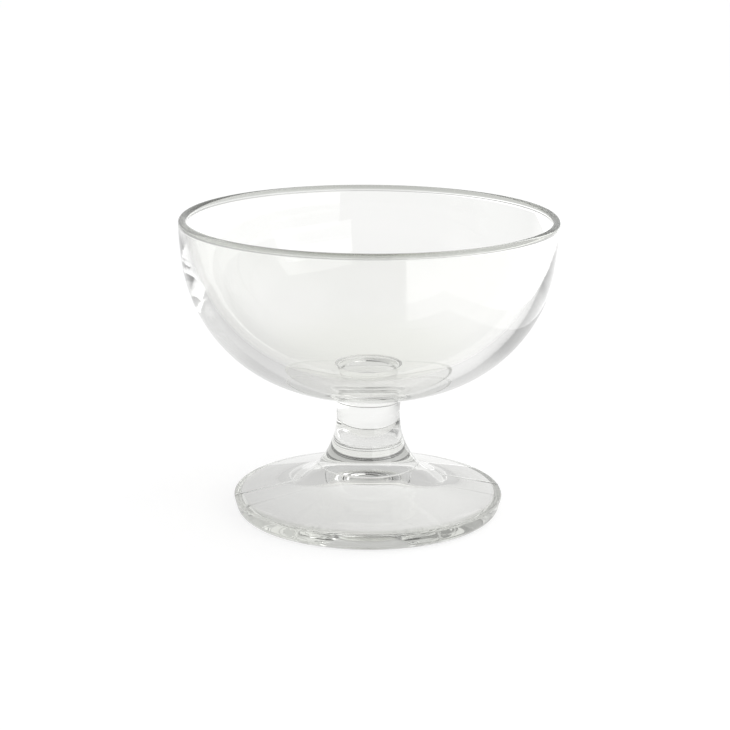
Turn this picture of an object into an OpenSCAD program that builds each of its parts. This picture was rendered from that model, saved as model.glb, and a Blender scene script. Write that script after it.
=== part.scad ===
// Footed dessert glass: a wide round bowl on a short solid stem and a hollow-backed disc foot.
// It is clear pressed glass, fused while hot, so its parts meet face to face, one above the other.
// Everything is turned about +Z. The origin is on the table, at the middle of the foot.

/* [Whole glass] */
// Height from the table to the top of the rim
glass_h = 80.3; // [78:0.1:90]
// Radius over the rounded rim, where the wall stands upright
rim_r = 50; // [48:0.5:54]

/* [Bowl outside] */
// Radius of the rounded edge of the rim
bead_r = 1.1; // [1.1:0.05:1.6]
// How far the rounded edge stands out from the wall
bead_proud = 0.01; // [0.01:0.01:0.3]
// Radius of the arc of the upper wall, upright at the rim
wall_arc = 83; // [80:1:90]
// Radius of the shoulder arc
shoulder_arc = 39.8; // [39:0.1:41]
// Where the shoulder arc ends and the wall arc begins, in degrees from straight down
shoulder_angle = 81; // [79:1:83]
// Where the floor arc ends and the shoulder arc begins, in degrees from straight down
floor_angle = 21.5; // [18:0.5:25]

/* [Bowl inside] */
// Thickness of the wall at the rim
wall_t = 2; // [1.7:0.1:2.1]
// Thickness of the glass on the axis, above the floor arc
floor_t = 5; // [4:0.1:7]
// Radius of the arc of the upper wall, on the inside
in_wall_arc = 56; // [50:1:62]
// End of the inner shoulder arc, in degrees from straight down
in_shoulder_angle = 78; // [76:1:80]
// End of the inner floor arc, in degrees from straight down
in_floor_angle = 12; // [10:0.5:20]

/* [Collar] */
// Radius of the collar
collar_r = 9.4; // [9.2:0.1:10]
// Height of the collar, up to the bowl
collar_h = 1.95; // [1.7:0.05:3]
// Radius of the fillet from the collar up to the bowl
collar_fillet = 0.5; // [0.3:0.1:0.9]
// Rounding of the collar's lower edge
collar_round = 0.55; // [0.3:0.05:0.7]

/* [Stem] */
// Height of the stem's top, where the collar begins
stem_top_z = 30.65; // [30:0.05:33]
// Radius of the stem at its waist
stem_r = 8.5; // [7.5:0.05:8.6]
// Height at which the stem begins to flare
waist_z = 26.3; // [25:0.1:27]
// Radius of the hollow curve of the flare
flare_arc = 20.5; // [18:0.5:24]
// Height of the neck, in which the stem widens a little up to the collar
neck_h = 2.65; // [2:0.05:3]
// Radius of the hollow curve of the neck
neck_arc = 12; // [11:0.5:20]

/* [Foot] */
// Height of the face where the foot and the stem are fused
foot_joint_z = 12.8; // [12.3:0.1:14]
// Largest radius of the foot
foot_r = 36.2; // [34:0.1:40]
// Slope of the foot's top towards its edge, in degrees
foot_slope = 12.3; // [11:0.1:14]
// Height of the foot's edge
edge_h = 5.1; // [4.6:0.1:5.6]
// Rounding of the edge at the top
edge_top_round = 0.7; // [0.4:0.1:1.2]
// Rounding of the edge at the bottom
edge_base_round = 2.5; // [2:0.1:2.8]
// How far the edge draws in towards the table
edge_taper = 0.55; // [0.3:0.05:0.9]

/* [Hollow under the foot] */
// Width of the flat ring that the foot rests on
rest_ring_w = 1.15; // [0.8:0.05:2]
// Height of the hollow on the axis
hollow_h = 10.2; // [9.5:0.1:11]
// Radius of the domed top of the hollow
dome_arc = 19; // [16:0.5:21]
// Where the dome ends, in degrees from straight up
dome_angle = 31; // [29:0.5:33]
// Slope of the hollow's roof towards the ring, in degrees
roof_slope = 14; // [12:0.5:15]

/* [Hidden] */
$fn = 180;
// Extra length of every cut, so that no cut ends on a face
overrun = 1;
// How far a hollow arc cuts past the line it runs into, so that the two always cross
arc_overlap = 0.0005;
// Turn of the collar's fillet, in degrees: it stops short of flat, against the bowl
fillet_turn = 75;
// How far the wall's arcs can run on up to the rim, in degrees from straight down
wall_end_angle = 110;

// Unit direction at an angle from straight down towards +X
function down(a) = [sin(a), -cos(a)];

// Radius of the sagging arc that starts at p with slope a and runs into the line of slope b through q
function sag_arc(p, a, q, b) =
    (p[1] - q[1] - (q[0] - p[0]) * tan(b))
    / (cos(b) - cos(a) - (sin(a) - sin(b)) * tan(b));

// Centre of an arc that lies down-left of it and starts at p with slope a
function sag_centre(p, a, r) = p - r * down(-a);

// Fused faces between stem, collar and bowl
seat_r = collar_r + collar_fillet * (1 - cos(fillet_turn));
seat_z = stem_top_z + collar_h;

// Bowl, outside: radius of the floor arc, then the centres of the arcs from the floor up
wall_r = rim_r - bead_proud;
shoulder_x = wall_r - wall_arc + (wall_arc - shoulder_arc) * sin(shoulder_angle);
floor_arc = shoulder_arc + shoulder_x / sin(floor_angle);
out_floor_c = [0, seat_z + sqrt(pow(floor_arc, 2) - pow(seat_r, 2))];
bowl_floor_z = out_floor_c[1] - floor_arc;
out_shoulder_c = out_floor_c + (floor_arc - shoulder_arc) * down(floor_angle);
out_wall_c = out_shoulder_c - (wall_arc - shoulder_arc) * down(shoulder_angle);

// Height at which the wall stands upright, and the wall's radius at the rim
wall_z = out_wall_c[1];
rim_wall_r = out_wall_c[0] + sqrt(pow(wall_arc, 2) - pow(glass_h - wall_z, 2));

// Bowl, inside: the shoulder arc's radius follows from the floor's thickness
in_wall_r = wall_r - wall_t;
in_turn = tan(in_floor_angle / 2);
in_lean = 1 - sin(in_shoulder_angle);
in_shoulder_arc =
    (wall_z - bowl_floor_z - floor_t - in_turn * in_wall_r
        - in_wall_arc * (cos(in_shoulder_angle) - in_turn * in_lean))
    / (1 - cos(in_shoulder_angle) - in_turn * sin(in_shoulder_angle));
in_wall_c = [in_wall_r - in_wall_arc, wall_z];
in_shoulder_c = in_wall_c + (in_wall_arc - in_shoulder_arc) * down(in_shoulder_angle);
in_floor_arc = in_shoulder_arc + in_shoulder_c[0] / sin(in_floor_angle);
in_floor_c = [0, in_shoulder_c[1] + (in_floor_arc - in_shoulder_arc) * cos(in_floor_angle)];

// Flare of the stem, and the slope at which it meets the foot
flare_c = [stem_r + flare_arc, waist_z];
flare_drop = waist_z - foot_joint_z;
joint_slope = 90 - asin(flare_drop / flare_arc);
joint_r = stem_r + flare_arc * (1 - sin(joint_slope));

// Neck of the stem, under the collar
neck_c = [stem_r + neck_arc, stem_top_z - neck_h];

// Edge of the foot: the two roundings and the straight side between them
edge_top_c = [foot_r - edge_top_round, edge_h - edge_top_round];
edge_base_c = [foot_r - edge_taper - edge_base_round, edge_base_round];
edge_step = edge_top_c - edge_base_c;
side_angle = 90 + atan2(edge_step[1], edge_step[0])
    - acos((edge_base_round - edge_top_round) / norm(edge_step));
slope_end = edge_top_c - edge_top_round * down(-foot_slope);

// Spread of the foot's top, from the stem's flare out to the slope
joint_p = [joint_r, foot_joint_z];
spread_arc = sag_arc(joint_p, joint_slope, slope_end, foot_slope);
spread_c = sag_centre(joint_p, joint_slope, spread_arc);
slope_start = spread_c + spread_arc * down(-foot_slope);

// Hollow under the foot: dome, sagging roof and slope down to the ring
ring_r = edge_base_c[0] - rest_ring_w;
dome_c = [0, hollow_h - dome_arc];
dome_end = dome_c - dome_arc * down(-dome_angle);
roof_arc = sag_arc(dome_end, dome_angle, [ring_r, 0], roof_slope);
roof_c = sag_centre(dome_end, dome_angle, roof_arc);
roof_end = roof_c + roof_arc * down(-roof_slope);

// Slice of a disc between two directions, each in degrees from straight down towards +X
module slice(centre, r, from, to) {
    intersection() {
        translate(centre) circle(r = r);
        polygon([
            centre,
            centre + 2 * r * down(from),
            centre + 2 * r * down((from + to) / 2),
            centre + 2 * r * down(to)
        ]);
    }
}

// Inside of a bowl line made of floor, shoulder and wall arcs, between two heights
module bowl_area(floor_c, floor_arc, shoulder_c, shoulder_arc, wall_c, wall_arc, a1, a2, low, high) {
    intersection() {
        union() {
            slice(floor_c, floor_arc, 0, a1);
            translate(shoulder_c) circle(r = shoulder_arc);
            slice(wall_c, wall_arc, a2, wall_end_angle);
        }
        translate([0, low]) square([rim_r + overrun, high - low]);
    }
}

module bowl() {
    bead_z = glass_h - bead_r;
    color([0.87, 0.9, 0.88]) rotate_extrude() {
        difference() {
            bowl_area(out_floor_c, floor_arc, out_shoulder_c, shoulder_arc,
                out_wall_c, wall_arc, floor_angle, shoulder_angle, seat_z, bead_z);
            bowl_area(in_floor_c, in_floor_arc, in_shoulder_c, in_shoulder_arc,
                in_wall_c, in_wall_arc, in_floor_angle, in_shoulder_angle, seat_z, glass_h);
        }
        translate([rim_wall_r + bead_proud - bead_r, bead_z]) circle(r = bead_r);
    }
}

module collar() {
    round_c = [collar_r - collar_round, stem_top_z + collar_round];
    fillet_c = [collar_r + collar_fillet, seat_z - collar_fillet * sin(fillet_turn)];
    color([0.84, 0.87, 0.86]) rotate_extrude() {
        difference() {
            polygon([
                [0, stem_top_z],
                [round_c[0], stem_top_z],
                [collar_r, round_c[1]],
                [collar_r, fillet_c[1]],
                [seat_r, seat_z],
                [0, seat_z]
            ]);
            slice(fillet_c, collar_fillet, -90 - fillet_turn, -90);
        }
        slice(round_c, collar_round, 0, 90);
    }
}

module stem() {
    color([0.88, 0.91, 0.9]) rotate_extrude() {
        translate([0, waist_z]) square([stem_r, stem_top_z - waist_z]);
        difference() {
            translate([0, foot_joint_z]) square([flare_c[0], flare_drop]);
            translate(flare_c) circle(r = flare_arc);
        }
        difference() {
            translate([0, neck_c[1]]) square([neck_c[0], neck_h]);
            translate(neck_c) circle(r = neck_arc);
        }
    }
}

// Half of the foot's section, before the hollow is cut
module foot_area() {
    difference() {
        polygon([
            [0, 0],
            [edge_base_c[0], 0],
            edge_base_c + edge_base_round * down(side_angle),
            edge_top_c + edge_top_round * down(side_angle),
            slope_end,
            slope_start,
            [slope_start[0], foot_joint_z],
            [0, foot_joint_z]
        ]);
        translate(spread_c) circle(r = spread_arc + arc_overlap);
    }
    translate(edge_base_c) circle(r = edge_base_round);
    translate(edge_top_c) circle(r = edge_top_round);
}

// Half of the hollow's section, down past the table
module hollow_area() {
    difference() {
        polygon([
            [0, -overrun],
            [ring_r + overrun / tan(roof_slope), -overrun],
            roof_end,
            [roof_end[0], dome_end[1]],
            [0, dome_end[1]]
        ]);
        translate(roof_c) circle(r = roof_arc + arc_overlap);
    }
    intersection() {
        translate(dome_c) circle(r = dome_arc);
        translate([0, dome_c[1] - dome_arc]) square(2 * dome_arc);
    }
}

module foot() {
    color([0.82, 0.85, 0.83]) rotate_extrude() difference() {
        foot_area();
        hollow_area();
    }
}

bowl();
collar();
stem();
foot();
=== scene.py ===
"""Looks of the footed dessert glass: clear pressed glass on a plain white table."""
import math
import bmesh
import bpy
from mathutils import Matrix, Vector


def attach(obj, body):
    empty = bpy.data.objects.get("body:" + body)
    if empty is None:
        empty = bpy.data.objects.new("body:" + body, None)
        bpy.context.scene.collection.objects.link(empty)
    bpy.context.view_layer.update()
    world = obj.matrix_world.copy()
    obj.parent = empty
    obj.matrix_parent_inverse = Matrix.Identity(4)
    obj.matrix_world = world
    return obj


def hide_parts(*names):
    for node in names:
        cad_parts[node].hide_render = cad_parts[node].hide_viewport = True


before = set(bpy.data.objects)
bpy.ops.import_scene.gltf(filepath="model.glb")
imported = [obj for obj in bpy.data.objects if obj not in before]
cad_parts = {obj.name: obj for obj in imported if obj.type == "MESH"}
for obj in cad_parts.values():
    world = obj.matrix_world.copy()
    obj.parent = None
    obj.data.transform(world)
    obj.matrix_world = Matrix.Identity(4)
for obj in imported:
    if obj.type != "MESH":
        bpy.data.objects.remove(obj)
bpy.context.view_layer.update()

MM = 0.001

# Sizes of the glass in millimetres, the same as in the CAD source
glass_h = 80.3
rim_r = 50.0
bead_r = 1.1
bead_proud = 0.01
wall_arc = 83.0
shoulder_arc = 39.8
shoulder_angle = 81.0
floor_angle = 21.5
wall_t = 2.0
floor_t = 5.0
in_wall_arc = 56.0
in_shoulder_angle = 78.0
in_floor_angle = 12.0
collar_r = 9.4
collar_h = 1.95
collar_fillet = 0.5
collar_round = 0.55
fillet_turn = 75.0
stem_top_z = 30.65
stem_r = 8.5
waist_z = 26.3
flare_arc = 20.5
neck_h = 2.65
neck_arc = 12.0
foot_joint_z = 12.8
foot_r = 36.2
foot_slope = 12.3
edge_h = 5.1
edge_top_round = 0.7
edge_base_round = 2.5
edge_taper = 0.55
rest_ring_w = 1.15
hollow_h = 10.2
dome_arc = 19.0
dome_angle = 31.0
roof_slope = 14.0

# Mould seams on the foot: where they are, in degrees round from +X, and how large
seam_angles = (8.5, 188.5)
seam_spread = 0.75
seam_h = 0.09
seam_steps = 4
# How near the edge of the foot the ridges end
seam_margin = 0.05

# How finely the outlines and the turned surfaces are drawn
bowl_turn_steps = 256
waist_turn_steps = 192
foot_turn_steps = 232
floor_steps = 16
shoulder_steps = 54
wall_steps = 24
rim_steps = 28
in_floor_steps = 24
collar_round_steps = 6
fillet_steps = 10
flare_steps = 40
neck_steps = 8
spread_steps = 28
edge_top_steps = 12
edge_base_steps = 14
roof_steps = 30
dome_steps = 24

# Points nearer to each other than this are one, and a face this near a fused plane lies in it
merge_gap = 0.0002
weld_gap = 0.001

# Glass: how strongly it bends light, and how fine its worn specks are
glass_index = 1.52
speck_size = 0.8
speck_from = 0.62
speck_to = 0.8
worn_roughness = 0.03

# Tints of the glass, from its clearest to its deepest
bowl_tints = ((0.995, 0.995, 0.985), (0.98, 0.985, 0.968))
collar_tints = ((0.985, 0.985, 0.972), (0.97, 0.973, 0.955))
# The stem's tints are darker than the other pieces': the glass's own faint tint with painted shade on top
stem_tints_with_shade = ((0.965, 0.967, 0.952), (0.95, 0.955, 0.935))
foot_tints = ((0.99, 0.99, 0.972), (0.97, 0.972, 0.95))

# Where the tints lie on the scale of the clouds, and how much larger than the waves the clouds are
tint_marks = (0.3, 0.75)
cloud_to_wave = 3

# Soft waves left by the mould: size and height
bowl_waves = (14, 0.02)
collar_waves = (6, 0.006)
stem_waves = (8, 0.008)
foot_waves = (11, 0.012)

# How finely the random patterns are broken up
cloud_detail = 2
speck_detail = 3
wave_detail = 1.5

# Painted shade: dark colours multiplied into the glass at the round rim, the bowl's thick floor and the
# foot's edge, and where they begin and end
# Painted shade: a dark band painted into the glass at the round rim
rim_shade_paint = (0.42, 0.43, 0.405)
rim_shade_low = 1.5
rim_shade_high = 0.7
# Painted shade: the glass painted a little darker in the bowl's thick floor
floor_shade_paint = (0.925, 0.93, 0.9)
floor_shade_low = 2.0
floor_shade_high = 11.0
# Painted shade: the glass painted darker at the foot's edge
edge_shade_paint = (0.8, 0.81, 0.78)
edge_shade_in = 2.2
edge_shade_out = 0.8

# Camera: place in metres, tilts in degrees, lens in millimetres
camera_place = (0, -0.4983, 0.17265)
camera_pitch = 14.911
camera_roll = 0.349
camera_lens = 95.24
camera_sensor = 36
camera_shift = -0.005

# Table: its white to the camera, and how much of its emitted white shows to the camera and of its painted
# light and shade through glass
table_half_width = 6.0
table_drop = 0.02
table_colour = (0.9, 0.9, 0.895)
table_white = 1.295
camera_share = 0.6
glass_share = 0.85

# Painted light and shade on the table as the glass shows it, with directions in degrees from the back (+Y)
# towards the right (+X)
# Painted shade on the table to the left and painted light to the right, seen only in gloss and glass
paper_turn = 53
paper_from = -0.1
paper_to = 0.05
painted_shade_left = 0.5
painted_light_right = 1.06
# Painted light towards the right front corner
corner_turn = 135
corner_from = 0.05
corner_to = 0.11
corner_painted_light = 0.05
right_edge_from = 0.099
right_edge_to = 0.101
front_edge_from = 0.108
front_edge_to = 0.110
# Past the table's front and right edges: painted dark, and a painted bright glow at the right
dark_from = 0.12
dark_to = 0.3
painted_dark_near = 0.45
painted_dark_far = 0.15
bright_turn = 70
bright_blur = 0.004
painted_glow_right = 1.9

# World: its level to the camera and as light on plain surfaces
world_white = 1.1
world_light = 0.8

# Soft panel at the right in front, and key light high at the right; metres, degrees, watts
panel_w = 0.5
panel_h = 0.26
panel_z = 0.29
panel_far = 0.45
panel_turn = 138
panel_level = 1.5
key_place = (0.4, 0.16, 0.55)
key_size = 0.35
key_power = 0.6

# How often light may turn inside the glass
light_turns = 256

# Levels of the room's walls seen in the glass, as (height of the direction, level); white is 1
BACK_WALL = ((0.0, 0.85), (0.2, 0.76), (0.5, 0.8), (0.75, 0.75), (0.92, 0.5), (0.97, 0.25))
LEFT_WALL = ((0.0, 0.6), (0.15, 0.52), (0.5, 0.45), (0.9, 0.5), (0.96, 0.2))
RIGHT_WALL = ((0.0, 0.75), (0.17, 0.95), (0.55, 0.95), (0.68, 0.55), (0.9, 0.45), (0.96, 0.2))
FRONT_WALL = (
    (0.0, 0.45), (0.17, 0.33), (0.34, 0.07), (0.57, 0.05), (0.68, 0.35), (0.8, 0.3), (0.9, 0.1), (0.96, 0.03),
)
# Where the walls meet: half the width in which left turns to right, and the turns, in degrees, from back
# to side and from side to front
WALL_BLUR = 0.2
SIDE_FROM = 30
SIDE_TO = 65
FRONT_FROM = 118
FRONT_TO = 135


def sin(degrees):
    return math.sin(math.radians(degrees))


def cos(degrees):
    return math.cos(math.radians(degrees))


def tan(degrees):
    return math.tan(math.radians(degrees))


def down(degrees):
    """Unit direction at an angle from straight down towards +X, in the plane of the outline."""
    return Vector((sin(degrees), -cos(degrees)))


def heading(p):
    """Angle of a direction, from straight down towards +X."""
    return math.degrees(math.atan2(p.x, -p.y))


def sag_arc(p, a, q, b):
    """Radius of the sagging arc that starts at p with slope a and runs into the line of slope b through q."""
    rise = p.y - q.y - (q.x - p.x) * tan(b)
    return rise / (cos(b) - cos(a) - (sin(a) - sin(b)) * tan(b))


def crossing(c1, r1, c2, r2, side):
    """Where two circles cross: side 1 or -1 picks the point left or right of the line of their centres."""
    gap = c2 - c1
    far = (r1 ** 2 - r2 ** 2 + gap.length_squared) / (2 * gap.length)
    off = math.sqrt(r1 ** 2 - far ** 2)
    ahead = gap.normalized()
    return c1 + ahead * far + Vector((-ahead.y, ahead.x)) * off * side


# Fused faces between stem, collar and bowl
seat_r = collar_r + collar_fillet * (1 - cos(fillet_turn))
seat_z = stem_top_z + collar_h

# Outline of the outside of the bowl
wall_r = rim_r - bead_proud
shoulder_x = wall_r - wall_arc + (wall_arc - shoulder_arc) * sin(shoulder_angle)
floor_arc = shoulder_arc + shoulder_x / sin(floor_angle)
out_floor_c = Vector((0, seat_z + math.sqrt(floor_arc ** 2 - seat_r ** 2)))
bowl_floor_z = out_floor_c.y - floor_arc
out_shoulder_c = out_floor_c + (floor_arc - shoulder_arc) * down(floor_angle)
out_wall_c = out_shoulder_c - (wall_arc - shoulder_arc) * down(shoulder_angle)
wall_z = out_wall_c.y
rim_wall_r = out_wall_c.x + math.sqrt(wall_arc ** 2 - (glass_h - wall_z) ** 2)

# Outline of the inside of the bowl
in_wall_r = wall_r - wall_t
in_turn = tan(in_floor_angle / 2)
in_lean = 1 - sin(in_shoulder_angle)
in_shoulder_arc = (
    wall_z - bowl_floor_z - floor_t - in_turn * in_wall_r
    - in_wall_arc * (cos(in_shoulder_angle) - in_turn * in_lean)
) / (1 - cos(in_shoulder_angle) - in_turn * sin(in_shoulder_angle))
in_wall_c = Vector((in_wall_r - in_wall_arc, wall_z))
in_shoulder_c = in_wall_c + (in_wall_arc - in_shoulder_arc) * down(in_shoulder_angle)
in_floor_arc = in_shoulder_arc + in_shoulder_c.x / sin(in_floor_angle)
in_floor_c = Vector((0, in_shoulder_c.y + (in_floor_arc - in_shoulder_arc) * cos(in_floor_angle)))

# Rounded rim, and where the two wall arcs run into it
bead_c = Vector((rim_wall_r + bead_proud - bead_r, glass_h - bead_r))
bead_out = crossing(bead_c, bead_r, out_wall_c, wall_arc, 1)
bead_in = crossing(bead_c, bead_r, in_wall_c, in_wall_arc, 1)

# Flare of the stem
flare_c = Vector((stem_r + flare_arc, waist_z))
joint_slope = 90 - math.degrees(math.asin((waist_z - foot_joint_z) / flare_arc))
joint_r = stem_r + flare_arc * (1 - sin(joint_slope))
joint_p = Vector((joint_r, foot_joint_z))

# Neck of the stem, under the collar
neck_c = Vector((stem_r + neck_arc, stem_top_z - neck_h))
neck_r = neck_c.x - math.sqrt(neck_arc ** 2 - neck_h ** 2)

# Top, edge and hollow of the foot
edge_top_c = Vector((foot_r - edge_top_round, edge_h - edge_top_round))
edge_base_c = Vector((foot_r - edge_taper - edge_base_round, edge_base_round))
edge_step = edge_top_c - edge_base_c
edge_lean = math.degrees(math.acos((edge_base_round - edge_top_round) / edge_step.length))
side_angle = heading(edge_step) - edge_lean
slope_end = edge_top_c - edge_top_round * down(-foot_slope)
spread_arc = sag_arc(joint_p, joint_slope, slope_end, foot_slope)
spread_c = joint_p - spread_arc * down(-joint_slope)
ring_r = edge_base_c.x - rest_ring_w
dome_c = Vector((0, hollow_h - dome_arc))
dome_end = dome_c - dome_arc * down(-dome_angle)
roof_arc = sag_arc(dome_end, dome_angle, Vector((ring_r, 0)), roof_slope)
roof_c = dome_end - roof_arc * down(-dome_angle)


def place(p):
    """A point of the outline, in metres, in the XZ plane."""
    return Vector((p.x * MM, 0, p.y * MM))


def line_to(bm, vert, p):
    """Draws the outline on in a straight line."""
    end = bm.verts.new(place(p))
    bm.edges.new((vert, end))
    return end


def arc_to(bm, vert, centre, turn, steps):
    """Draws the outline on in an arc round a centre; a turn above zero goes from straight down to +X."""
    swept = bmesh.ops.spin(
        bm, geom=[vert], cent=place(centre), axis=(0, 1, 0), angle=-math.radians(turn), steps=steps,
        use_merge=False, use_duplicate=False,
    )
    return [v for v in swept["geom_last"] if isinstance(v, bmesh.types.BMVert)][0]


def arc_until(bm, vert, centre, end, steps, way):
    """Draws the outline on in an arc round a centre, the way round given, until it points at the end."""
    start = Vector((vert.co.x / MM, vert.co.z / MM)) - centre
    turn = (heading(end - centre) - heading(start)) % 360
    if way < 0:
        turn -= 360
    return arc_to(bm, vert, centre, turn, steps)


def start_outline(z):
    """An empty mesh with the first point of an outline, on the axis."""
    bm = bmesh.new()
    return bm, bm.verts.new(place(Vector((0, z))))


def turn_outline(bm, parts):
    """Turns the outline about the axis, in parts of so many degrees and steps each, into a closed solid."""
    geom = list(bm.verts) + list(bm.edges)
    for degrees, steps in parts:
        swept = bmesh.ops.spin(
            bm, geom=geom, cent=(0, 0, 0), axis=(0, 0, 1), angle=math.radians(degrees), steps=steps,
            use_merge=len(parts) == 1, use_duplicate=False,
        )
        geom = swept["geom_last"]
    bmesh.ops.remove_doubles(bm, verts=bm.verts, dist=merge_gap * MM)
    bmesh.ops.recalc_face_normals(bm, faces=bm.faces)


def finish_piece(bm, name, node, glass, welds):
    """Makes the object, gives its fused faces the clear weld material, and hangs it on the frame."""
    for face in bm.faces:
        face.smooth = True
        for weld_z, weld_r in welds:
            flat = all(abs(v.co.z - weld_z * MM) < weld_gap * MM for v in face.verts)
            if flat and face.calc_center_median().to_2d().length < weld_r * MM:
                face.material_index = 1
                face.smooth = False
    mesh = bpy.data.meshes.new(name)
    bm.to_mesh(mesh)
    bm.free()
    piece = bpy.data.objects.new(name, mesh)
    bpy.context.scene.collection.objects.link(piece)
    mesh.materials.append(glass)
    mesh.materials.append(weld_clear())
    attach(piece, "root")
    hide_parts(node)


def nodes_of(material):
    """An emptied node tree, with a short way to add nodes and to link them."""
    material.use_nodes = True
    tree = material.node_tree
    tree.nodes.clear()

    def add(kind, **settings):
        node = tree.nodes.new(kind)
        for key, value in settings.items():
            setattr(node, key, value)
        return node

    return add, tree.links.new


def soft_step(add, link, value, low, high, from_level, to_level):
    """A level that goes smoothly from one to another while the value goes from low to high."""
    step = add("ShaderNodeMapRange", interpolation_type="SMOOTHSTEP")
    link(value, step.inputs["Value"])
    step.inputs["From Min"].default_value = low
    step.inputs["From Max"].default_value = high
    step.inputs["To Min"].default_value = from_level
    step.inputs["To Max"].default_value = to_level
    return step.outputs["Result"]


def weld_clear():
    """The fused faces: light goes straight through, as the two pieces are one glass there."""
    material = bpy.data.materials.get("fused_glass_face")
    if material is None:
        material = bpy.data.materials.new("fused_glass_face")
        add, link = nodes_of(material)
        out = add("ShaderNodeOutputMaterial")
        clear = add("ShaderNodeBsdfTransparent")
        link(clear.outputs["BSDF"], out.inputs["Surface"])
    return material


def multiply_painted_shade(add, link, colour, share, shade_colour):
    """Multiplies a painted shade colour into the glass's tint, as far as the share reaches."""
    shaded = add("ShaderNodeMix", data_type="RGBA", blend_type="MULTIPLY")
    link(share, shaded.inputs["Factor"])
    link(colour, shaded.inputs[6])
    shaded.inputs[7].default_value = (*shade_colour, 1)
    return shaded.outputs[2]


def height_of(add, link, where):
    """The height of a point of the piece above the table."""
    axes = add("ShaderNodeSeparateXYZ")
    link(where.outputs["Object"], axes.inputs["Vector"])
    return axes.outputs["Z"]


def bowl_painted_shading(add, link, where, colour):
    """Painted shade: the round rim and the thick floor of the bowl are painted darker than its wall."""
    height = height_of(add, link, where)
    # Painted shade over the bowl's thick floor, fading out upwards
    floor_from = (seat_z + floor_shade_low) * MM
    floor_to = (seat_z + floor_shade_high) * MM
    floor_share = soft_step(add, link, height, floor_from, floor_to, 1.0, 0.0)
    # Painted shade: a dark band at the rim, full from just under its top
    rim_from = (glass_h - rim_shade_low) * MM
    rim_to = (glass_h - rim_shade_high) * MM
    rim_share = soft_step(add, link, height, rim_from, rim_to, 0.0, 1.0)
    return multiply_painted_shade(add, link, multiply_painted_shade(add, link, colour, floor_share, floor_shade_paint), rim_share, rim_shade_paint)


def foot_painted_shading(add, link, where, colour):
    """Painted shade: the foot's edge is painted darker than its disc."""
    radius = add("ShaderNodeVectorMath", operation="LENGTH")
    link(where.outputs["Object"], radius.inputs[0])
    # Painted shade at the foot's edge, rising outwards
    edge_from = (foot_r - edge_shade_in) * MM
    edge_to = (foot_r - edge_shade_out) * MM
    share = soft_step(add, link, radius.outputs["Value"], edge_from, edge_to, 0.0, 1.0)
    return multiply_painted_shade(add, link, colour, share, edge_shade_paint)


def noise(add, link, where, size, detail):
    """A soft random pattern in the piece's own place, of so many millimetres."""
    pattern = add("ShaderNodeTexNoise")
    pattern.inputs["Scale"].default_value = 1 / (size * MM)
    pattern.inputs["Detail"].default_value = detail
    link(where.outputs["Object"], pattern.inputs["Vector"])
    return pattern.outputs["Fac"]


def pressed_glass(name, tints, waves, add_painted_shade=None):
    """Clear pressed glass with a faint uneven tint, soft waves left by the mould, slight wear, and painted
    shade where it is given.
    """
    material = bpy.data.materials.new(name)
    add, link = nodes_of(material)
    out = add("ShaderNodeOutputMaterial")
    glass = add("ShaderNodeBsdfPrincipled")
    glass.inputs["IOR"].default_value = glass_index
    glass.inputs["Transmission Weight"].default_value = 1.0
    where = add("ShaderNodeTexCoord")
    wave_size, wave_h = waves

    tint = add("ShaderNodeValToRGB")
    for mark, at, colour in zip(tint.color_ramp.elements, tint_marks, tints):
        mark.position = at
        mark.color = (*colour, 1)
    link(noise(add, link, where, cloud_to_wave * wave_size, cloud_detail), tint.inputs["Fac"])
    # Painted shade: where a piece is given it, its glass colour is painted darker in places
    colour = add_painted_shade(add, link, where, tint.outputs["Color"]) if add_painted_shade else tint.outputs["Color"]
    link(colour, glass.inputs["Base Color"])

    wear = add("ShaderNodeMapRange")
    wear.inputs["From Min"].default_value = speck_from
    wear.inputs["From Max"].default_value = speck_to
    wear.inputs["To Min"].default_value = 0.0
    wear.inputs["To Max"].default_value = worn_roughness
    link(noise(add, link, where, speck_size, speck_detail), wear.inputs["Value"])
    link(wear.outputs["Result"], glass.inputs["Roughness"])

    bump = add("ShaderNodeBump")
    bump.inputs["Strength"].default_value = 1.0
    bump.inputs["Distance"].default_value = wave_h * MM
    link(noise(add, link, where, wave_size, wave_detail), bump.inputs["Height"])
    link(bump.outputs["Normal"], glass.inputs["Normal"])
    link(glass.outputs["BSDF"], out.inputs["Surface"])
    return material


def bowl_glass():
    return pressed_glass("bowl_pressed_glass", bowl_tints, bowl_waves, bowl_painted_shading)


def collar_glass():
    return pressed_glass("collar_pressed_glass", collar_tints, collar_waves)


def stem_glass():
    return pressed_glass("stem_pressed_glass", stem_tints_with_shade, stem_waves)


def foot_glass():
    return pressed_glass("foot_pressed_glass", foot_tints, foot_waves, foot_painted_shading)


def make_bowl():
    bm, v = start_outline(seat_z)
    v = line_to(bm, v, Vector((seat_r, seat_z)))
    v = arc_until(bm, v, out_floor_c, out_floor_c + down(floor_angle), floor_steps, 1)
    v = arc_to(bm, v, out_shoulder_c, shoulder_angle - floor_angle, shoulder_steps)
    v = arc_until(bm, v, out_wall_c, bead_out, wall_steps, 1)
    v = arc_until(bm, v, bead_c, bead_in, rim_steps, 1)
    v = arc_until(bm, v, in_wall_c, in_wall_c + down(in_shoulder_angle), wall_steps, -1)
    v = arc_to(bm, v, in_shoulder_c, in_floor_angle - in_shoulder_angle, shoulder_steps)
    arc_to(bm, v, in_floor_c, -in_floor_angle, in_floor_steps)
    turn_outline(bm, [(360, bowl_turn_steps)])
    finish_piece(bm, "bowl_glass_body", "bowl", bowl_glass(), [(seat_z, seat_r)])


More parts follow.
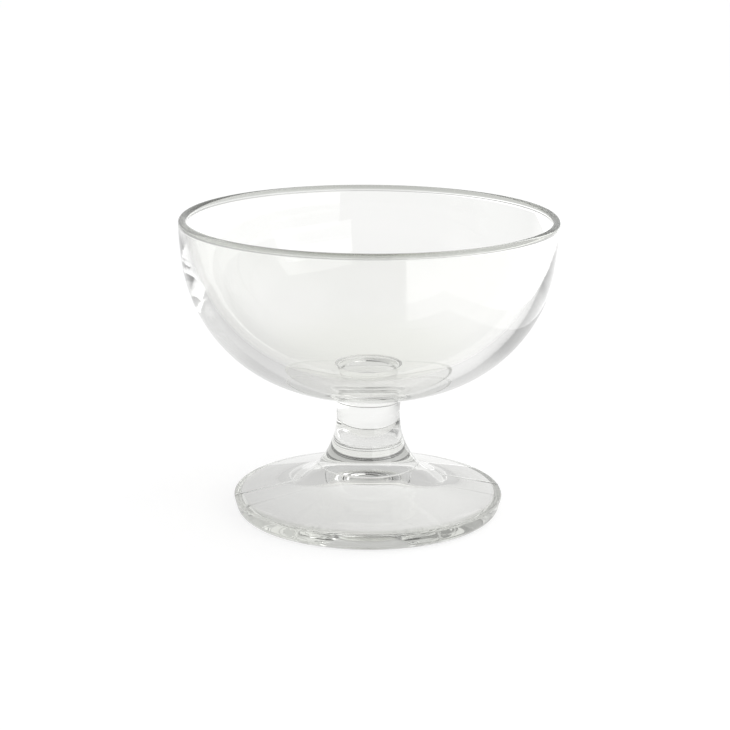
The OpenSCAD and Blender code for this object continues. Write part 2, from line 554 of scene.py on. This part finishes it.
def make_collar():
    round_c = Vector((collar_r - collar_round, stem_top_z + collar_round))
    fillet_c = Vector((collar_r + collar_fillet, seat_z - collar_fillet * sin(fillet_turn)))
    bm, v = start_outline(stem_top_z)
    v = line_to(bm, v, Vector((neck_r, stem_top_z)))
    v = line_to(bm, v, Vector((round_c.x, stem_top_z)))
    v = arc_to(bm, v, round_c, 90, collar_round_steps)
    v = line_to(bm, v, Vector((collar_r, fillet_c.y)))
    v = arc_to(bm, v, fillet_c, -fillet_turn, fillet_steps)
    line_to(bm, v, Vector((0, seat_z)))
    turn_outline(bm, [(360, waist_turn_steps)])
    welds = [(stem_top_z, neck_r), (seat_z, seat_r)]
    finish_piece(bm, "collar_glass_ring", "collar", collar_glass(), welds)


def make_stem():
    bm, v = start_outline(foot_joint_z)
    v = line_to(bm, v, joint_p)
    v = arc_until(bm, v, flare_c, Vector((stem_r, waist_z)), flare_steps, -1)
    v = line_to(bm, v, Vector((stem_r, neck_c.y)))
    v = arc_until(bm, v, neck_c, Vector((neck_r, stem_top_z)), neck_steps, -1)
    line_to(bm, v, Vector((0, stem_top_z)))
    turn_outline(bm, [(360, waist_turn_steps)])
    welds = [(foot_joint_z, joint_r), (stem_top_z, neck_r)]
    finish_piece(bm, "stem_glass_waist", "stem", stem_glass(), welds)


def raise_seams(bm):
    """Lifts the two thin ridges that the halves of the mould left on the top of the foot."""
    for v in bm.verts:
        out = v.co.to_2d().length
        if v.normal.z <= 0 or out < joint_r * MM or out > (foot_r - seam_margin) * MM:
            continue
        turn = math.degrees(math.atan2(v.co.y, v.co.x)) % 360
        nearest = min(abs(turn - angle) for angle in seam_angles)
        share = max(0.0, 1 - nearest / (0.5 * seam_spread))
        fade = min(1.0, (out / MM - joint_r) / (0.5 * (foot_r - joint_r)))
        v.co.z += seam_h * MM * share * fade


def make_foot():
    bm, v = start_outline(foot_joint_z)
    v = line_to(bm, v, joint_p)
    v = arc_to(bm, v, spread_c, joint_slope - foot_slope, spread_steps)
    v = line_to(bm, v, slope_end)
    v = arc_until(bm, v, edge_top_c, edge_top_c + down(side_angle), edge_top_steps, -1)
    v = line_to(bm, v, edge_base_c + edge_base_round * down(side_angle))
    v = arc_until(bm, v, edge_base_c, edge_base_c + down(0), edge_base_steps, -1)
    v = line_to(bm, v, Vector((ring_r, 0)))
    v = line_to(bm, v, roof_c + roof_arc * down(-roof_slope))
    v = arc_until(bm, v, roof_c, dome_end, roof_steps, -1)
    arc_until(bm, v, dome_c, Vector((0, hollow_h)), dome_steps, 1)
    first = Matrix.Rotation(math.radians(seam_angles[0] - 0.5 * seam_spread), 3, "Z")
    bmesh.ops.rotate(bm, verts=bm.verts, cent=(0, 0, 0), matrix=first)
    half = (180 - seam_spread, foot_turn_steps // 2)
    turn_outline(bm, [(seam_spread, seam_steps), half, (seam_spread, seam_steps), half])
    bm.normal_update()
    raise_seams(bm)
    finish_piece(bm, "foot_glass_disc", "foot", foot_glass(), [(foot_joint_z, joint_r)])


def make_camera():
    """The photograph's view: a long lens a little above the rim, with a slight roll."""
    camera = bpy.data.objects.new("camera", bpy.data.cameras.new("camera"))
    bpy.context.scene.collection.objects.link(camera)
    ahead = Vector((0, cos(camera_pitch), -sin(camera_pitch)))
    above = Vector((0, sin(camera_pitch), cos(camera_pitch)))
    right = Vector((1, 0, 0))
    side = right * cos(camera_roll) + above * sin(camera_roll)
    top = above * cos(camera_roll) - right * sin(camera_roll)
    turn = Matrix((side, top, -ahead)).transposed()
    camera.matrix_world = Matrix.Translation(camera_place) @ turn.to_4x4()
    camera.data.sensor_width = camera_sensor
    camera.data.lens = camera_lens
    camera.data.shift_x = camera_shift
    camera.data.clip_start = 0.01
    camera.data.clip_end = 100
    bpy.context.scene.camera = camera


def seen_share(add, link):
    """How much of the table's own white shows: one share to the camera, another in gloss and glass."""
    path = add("ShaderNodeLightPath")
    either = add("ShaderNodeMath", operation="MAXIMUM")
    link(path.outputs["Is Glossy Ray"], either.inputs[0])
    link(path.outputs["Is Transmission Ray"], either.inputs[1])
    through = add("ShaderNodeMath", operation="MULTIPLY")
    link(either.outputs["Value"], through.inputs[0])
    through.inputs[1].default_value = glass_share
    total = add("ShaderNodeMath", operation="MULTIPLY_ADD")
    link(path.outputs["Is Camera Ray"], total.inputs[0])
    total.inputs[1].default_value = camera_share
    link(through.outputs["Value"], total.inputs[2])
    return total.outputs["Value"]


def blend(add, link, share, first, second):
    """Mixes two levels; either may be a plain number."""
    mix = add("ShaderNodeMix", data_type="FLOAT")
    link(share, mix.inputs["Factor"])
    for socket, level in ((mix.inputs[2], first), (mix.inputs[3], second)):
        if isinstance(level, float):
            socket.default_value = level
        else:
            link(level, socket)
    return mix.outputs[0]


def along(add, link, place_at, azimuth):
    """How far a point lies along an azimuth, in degrees from the back (+Y) towards the right (+X)."""
    dot = add("ShaderNodeVectorMath", operation="DOT_PRODUCT")
    link(place_at, dot.inputs[0])
    dot.inputs[1].default_value = (sin(azimuth), cos(azimuth), 0)
    return dot.outputs["Value"]


def painted_table_light(add, link):
    """Painted light and shade on the table as the glass shows it: painted shade to the left, painted light to
    the right and at the right front corner, and past its edges painted dark and a painted bright glow.
    """
    where = add("ShaderNodeTexCoord").outputs["Object"]
    turned = along(add, link, where, paper_turn)
    # Painted shade to the left, painted light to the right
    left_right = soft_step(add, link, turned, paper_from, paper_to, painted_shade_left, painted_light_right)
    to_corner = along(add, link, where, corner_turn)
    corner = soft_step(add, link, to_corner, corner_from, corner_to, 0.0, corner_painted_light)
    # Painted shade and painted light of the table, added together
    paper = add("ShaderNodeMath", operation="ADD")
    link(left_right, paper.inputs[0])
    link(corner, paper.inputs[1])
    to_right = along(add, link, where, 90)
    to_front = along(add, link, where, 180)
    past = add("ShaderNodeMath", operation="MAXIMUM")
    link(soft_step(add, link, to_right, right_edge_from, right_edge_to, 0.0, 1.0), past.inputs[0])
    link(soft_step(add, link, to_front, front_edge_from, front_edge_to, 0.0, 1.0), past.inputs[1])
    radius = add("ShaderNodeVectorMath", operation="LENGTH")
    link(where, radius.inputs[0])
    # Past the edges: painted dark, fading with distance, and a painted glow at the right
    beyond_shade = soft_step(add, link, radius.outputs["Value"], dark_from, dark_to, painted_dark_near, painted_dark_far)
    to_bright = along(add, link, where, bright_turn)
    bright_share = soft_step(add, link, to_bright, -bright_blur, bright_blur, 0.0, 1.0)
    beyond = blend(add, link, bright_share, beyond_shade, painted_glow_right)
    return blend(add, link, past.outputs["Value"], paper.outputs["Value"], beyond)


def floor_paper():
    """The white table: its own shading mixed with plain white to the camera and with painted light and shade
    in gloss and glass, so that the shadow stays.
    """
    material = bpy.data.materials.new("white_table_paper")
    add, link = nodes_of(material)
    out = add("ShaderNodeOutputMaterial")
    paper = add("ShaderNodeBsdfDiffuse")
    paper.inputs["Color"].default_value = (*table_colour, 1)
    white = add("ShaderNodeEmission")
    path = add("ShaderNodeLightPath")
    # Emission: plain white to the camera, painted light and shade to gloss and glass
    level = blend(add, link, path.outputs["Is Camera Ray"], painted_table_light(add, link), table_white)
    link(level, white.inputs["Strength"])
    mix = add("ShaderNodeMixShader")
    link(seen_share(add, link), mix.inputs["Fac"])
    link(paper.outputs["BSDF"], mix.inputs[1])
    link(white.outputs["Emission"], mix.inputs[2])
    link(mix.outputs["Shader"], out.inputs["Surface"])
    return material


def make_floor():
    """One plain plane, just under the foot's flat ring."""
    bm = bmesh.new()
    bmesh.ops.create_grid(bm, x_segments=1, y_segments=1, size=table_half_width)
    bmesh.ops.translate(bm, verts=bm.verts, vec=(0, 0, -table_drop * MM))
    mesh = bpy.data.meshes.new("floor")
    bm.to_mesh(mesh)
    bm.free()
    mesh.materials.append(floor_paper())
    floor = bpy.data.objects.new("floor", mesh)
    bpy.context.scene.collection.objects.link(floor)


def height_ramp(add, link, height, stops):
    """A level that follows the height of a direction, from the horizon (0) to straight up (1)."""
    ramp = add("ShaderNodeValToRGB")
    link(height, ramp.inputs["Fac"])
    marks = ramp.color_ramp.elements
    while len(marks) < len(stops):
        marks.new(1.0)
    for mark, (at, level) in zip(marks, stops):
        mark.position = at
        mark.color = (level, level, level, 1)
    return ramp.outputs["Color"]


def room_level(add, link):
    """The room round the table: light at the back and the right, grey at the left, dark in front."""
    where = add("ShaderNodeTexCoord").outputs["Generated"]
    axes = add("ShaderNodeSeparateXYZ")
    link(where, axes.inputs["Vector"])
    turn = add("ShaderNodeMath", operation="ARCTAN2")
    link(axes.outputs["X"], turn.inputs[0])
    link(axes.outputs["Y"], turn.inputs[1])
    off_back = add("ShaderNodeMath", operation="ABSOLUTE")
    link(turn.outputs["Value"], off_back.inputs[0])
    height = axes.outputs["Z"]
    back = height_ramp(add, link, height, BACK_WALL)
    right_share = soft_step(add, link, turn.outputs["Value"], -WALL_BLUR, WALL_BLUR, 0.0, 1.0)
    left = height_ramp(add, link, height, LEFT_WALL)
    side = blend(add, link, right_share, left, height_ramp(add, link, height, RIGHT_WALL))
    front = height_ramp(add, link, height, FRONT_WALL)
    off_angle = off_back.outputs["Value"]
    side_share = soft_step(add, link, off_angle, math.radians(SIDE_FROM), math.radians(SIDE_TO), 0.0, 1.0)
    front_share = soft_step(add, link, off_angle, math.radians(FRONT_FROM), math.radians(FRONT_TO), 0.0, 1.0)
    return blend(add, link, front_share, blend(add, link, side_share, back, side), front)


def make_world():
    """Plain white to the camera, even for lighting, and a studio room in gloss and through glass."""
    world = bpy.data.worlds.new("studio")
    bpy.context.scene.world = world
    add, link = nodes_of(world)
    out = add("ShaderNodeOutputWorld")
    sky = add("ShaderNodeBackground")
    path = add("ShaderNodeLightPath")
    lit = blend(add, link, path.outputs["Is Diffuse Ray"], room_level(add, link), world_light)
    shown = blend(add, link, path.outputs["Is Camera Ray"], lit, world_white)
    link(shown, sky.inputs["Strength"])
    link(sky.outputs["Background"], out.inputs["Surface"])


def soft_box(name, place_at, look_at, width, height, power):
    """A soft box: an area lamp that lights the scene and shows in the glass."""
    lamp = bpy.data.lights.new(name, "AREA")
    lamp.shape = "RECTANGLE"
    lamp.size = width
    lamp.size_y = height
    lamp.energy = power
    box = bpy.data.objects.new(name, lamp)
    bpy.context.scene.collection.objects.link(box)
    aim = Vector(look_at) - Vector(place_at)
    box.matrix_world = Matrix.Translation(place_at) @ aim.to_track_quat("-Z", "Y").to_matrix().to_4x4()
    box.visible_camera = False
    return box


def make_lights():
    """A soft panel that hangs over the table at the right in front, and a key light high at the right."""
    place_at = (panel_far * sin(panel_turn), panel_far * cos(panel_turn), panel_z)
    power = panel_level * math.pi * panel_w * panel_h
    soft_box("soft_panel_right", place_at, (0, 0, panel_z), panel_w, panel_h, power)
    key = soft_box("soft_key_high", key_place, (0, 0, 0), key_size, key_size, key_power)
    key.visible_glossy = False
    key.visible_transmission = False


def light_paths():
    """Light turns many times inside thick glass before it comes out."""
    cycles = bpy.context.scene.cycles
    cycles.max_bounces = light_turns
    cycles.transmission_bounces = light_turns
    cycles.glossy_bounces = light_turns
    cycles.transparent_max_bounces = light_turns


make_camera()
make_bowl()
make_collar()
make_stem()
make_foot()
make_floor()
make_world()
make_lights()
light_paths()
bpy.context.scene.view_settings.view_transform = "Standard"
